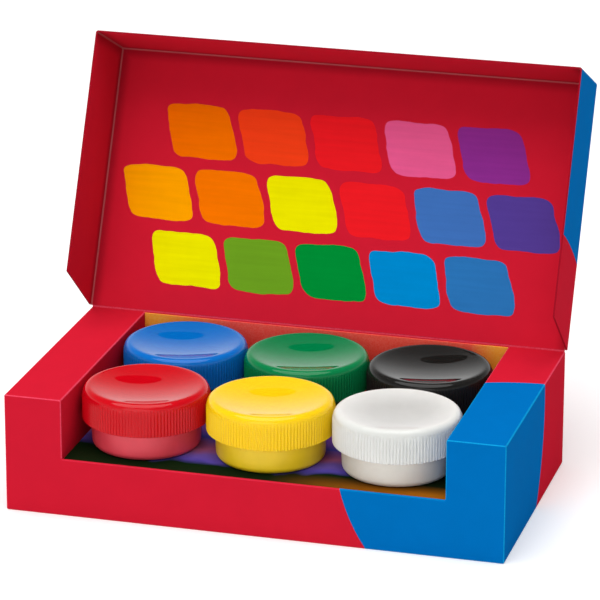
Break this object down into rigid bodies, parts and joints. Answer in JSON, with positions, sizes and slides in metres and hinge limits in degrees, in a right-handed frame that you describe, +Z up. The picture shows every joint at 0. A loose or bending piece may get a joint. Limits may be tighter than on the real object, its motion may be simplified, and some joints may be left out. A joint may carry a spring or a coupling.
{
  "type": "tempera paint set",
  "caption": "Hinged carton of tempera paints: a leaning lid tray, hollow side frames and a platform with rows of squat screw-cap pots.",
  "frame": {"origin": "middle of the carton's footprint, on its underside", "axes": "+X to the right along the carton's length, -Y out of the open front, +Z up"},
  "size_m": [0.189, 0.1446, 0.1524],
  "materials": {
    "carton": "satin",
    "platform": "satin",
    "foam": "matte",
    "red_cap": "gloss",
    "red_pot": "satin",
    "red_paint": "gloss",
    "yellow_cap": "gloss",
    "yellow_pot": "satin",
    "yellow_paint": "gloss",
    "white_cap": "gloss",
    "white_pot": "satin",
    "white_paint": "gloss",
    "blue_cap": "gloss",
    "blue_pot": "satin",
    "blue_paint": "gloss",
    "green_cap": "gloss",
    "green_pot": "satin",
    "green_paint": "gloss",
    "black_cap": "gloss",
    "black_pot": "satin",
    "black_paint": "gloss"
  },
  "bodies": {
    "base": {"base_tray": "carton", "left_frame": "carton", "right_frame": "carton", "platform_insert": "platform"},
    "lid": {"lid_tray": "carton"},
    "red_jar": {"red_pot": "red_pot", "red_paint": "red_paint"},
    "red_seal": {"red_seal": "foam"},
    "red_cap": {"red_cap": "red_cap"},
    "yellow_jar": {"yellow_pot": "yellow_pot", "yellow_paint": "yellow_paint"},
    "yellow_seal": {"yellow_seal": "foam"},
    "yellow_cap": {"yellow_cap": "yellow_cap"},
    "white_jar": {"white_pot": "white_pot", "white_paint": "white_paint"},
    "white_seal": {"white_seal": "foam"},
    "white_cap": {"white_cap": "white_cap"},
    "blue_jar": {"blue_pot": "blue_pot", "blue_paint": "blue_paint"},
    "blue_seal": {"blue_seal": "foam"},
    "blue_cap": {"blue_cap": "blue_cap"},
    "green_jar": {"green_pot": "green_pot", "green_paint": "green_paint"},
    "green_seal": {"green_seal": "foam"},
    "green_cap": {"green_cap": "green_cap"},
    "black_jar": {"black_pot": "black_pot", "black_paint": "black_paint"},
    "black_seal": {"black_seal": "foam"},
    "black_cap": {"black_cap": "black_cap"}
  },
  "joints": [
    {"name": "lid_hinge", "type": "hinge", "parent": "base", "child": "lid", "pos_m": [0, 0.0504, 0.0456], "axis": [-1, 0, 0], "range_deg": [-115.25, 64.75]},
    {"name": "red_jar_lift", "type": "slide", "parent": "base", "child": "red_jar", "axis": [0, 0, 1], "range_m": [0, 0.06]},
    {"name": "red_cap_rise", "type": "slide", "parent": "red_jar", "child": "red_seal", "axis": [0, 0, 1], "range_m": [0, 0.0091]},
    {"name": "red_cap_turn", "type": "hinge", "parent": "red_seal", "child": "red_cap", "pos_m": [-0.0476, -0.0246, 0.0322], "axis": [0, 0, 1], "range_deg": [0, 540]},
    {"name": "yellow_jar_lift", "type": "slide", "parent": "base", "child": "yellow_jar", "axis": [0, 0, 1], "range_m": [0, 0.06]},
    {"name": "yellow_cap_rise", "type": "slide", "parent": "yellow_jar", "child": "yellow_seal", "axis": [0, 0, 1], "range_m": [0, 0.0091]},
    {"name": "yellow_cap_turn", "type": "hinge", "parent": "yellow_seal", "child": "yellow_cap", "pos_m": [0, -0.0246, 0.0322], "axis": [0, 0, 1], "range_deg": [0, 540]},
    {"name": "white_jar_lift", "type": "slide", "parent": "base", "child": "white_jar", "axis": [0, 0, 1], "range_m": [0, 0.06]},
    {"name": "white_cap_rise", "type": "slide", "parent": "white_jar", "child": "white_seal", "axis": [0, 0, 1], "range_m": [0, 0.0091]},
    {"name": "white_cap_turn", "type": "hinge", "parent": "white_seal", "child": "white_cap", "pos_m": [0.0476, -0.0246, 0.0322], "axis": [0, 0, 1], "range_deg": [0, 540]},
    {"name": "blue_jar_lift", "type": "slide", "parent": "base", "child": "blue_jar", "axis": [0, 0, 1], "range_m": [0, 0.06]},
    {"name": "blue_cap_rise", "type": "slide", "parent": "blue_jar", "child": "blue_seal", "axis": [0, 0, 1], "range_m": [0, 0.0091]},
    {"name": "blue_cap_turn", "type": "hinge", "parent": "blue_seal", "child": "blue_cap", "pos_m": [-0.0476, 0.0246, 0.0322], "axis": [0, 0, 1], "range_deg": [0, 540]},
    {"name": "green_jar_lift", "type": "slide", "parent": "base", "child": "green_jar", "axis": [0, 0, 1], "range_m": [0, 0.06]},
    {"name": "green_cap_rise", "type": "slide", "parent": "green_jar", "child": "green_seal", "axis": [0, 0, 1], "range_m": [0, 0.0091]},
    {"name": "green_cap_turn", "type": "hinge", "parent": "green_seal", "child": "green_cap", "pos_m": [0, 0.0246, 0.0322], "axis": [0, 0, 1], "range_deg": [0, 540]},
    {"name": "black_jar_lift", "type": "slide", "parent": "base", "child": "black_jar", "axis": [0, 0, 1], "range_m": [0, 0.06]},
    {"name": "black_cap_rise", "type": "slide", "parent": "black_jar", "child": "black_seal", "axis": [0, 0, 1], "range_m": [0, 0.0091]},
    {"name": "black_cap_turn", "type": "hinge", "parent": "black_seal", "child": "black_cap", "pos_m": [0.0476, 0.0246, 0.0322], "axis": [0, 0, 1], "range_deg": [0, 540]}
  ],
  "couplings": [
    {"joint": "red_cap_rise", "follows": "red_cap_turn", "m_per_rad": 0.00095493},
    {"joint": "yellow_cap_rise", "follows": "yellow_cap_turn", "m_per_rad": 0.00095493},
    {"joint": "white_cap_rise", "follows": "white_cap_turn", "m_per_rad": 0.00095493},
    {"joint": "blue_cap_rise", "follows": "blue_cap_turn", "m_per_rad": 0.00095493},
    {"joint": "green_cap_rise", "follows": "green_cap_turn", "m_per_rad": 0.00095493},
    {"joint": "black_cap_rise", "follows": "black_cap_turn", "m_per_rad": 0.00095493}
  ]
}
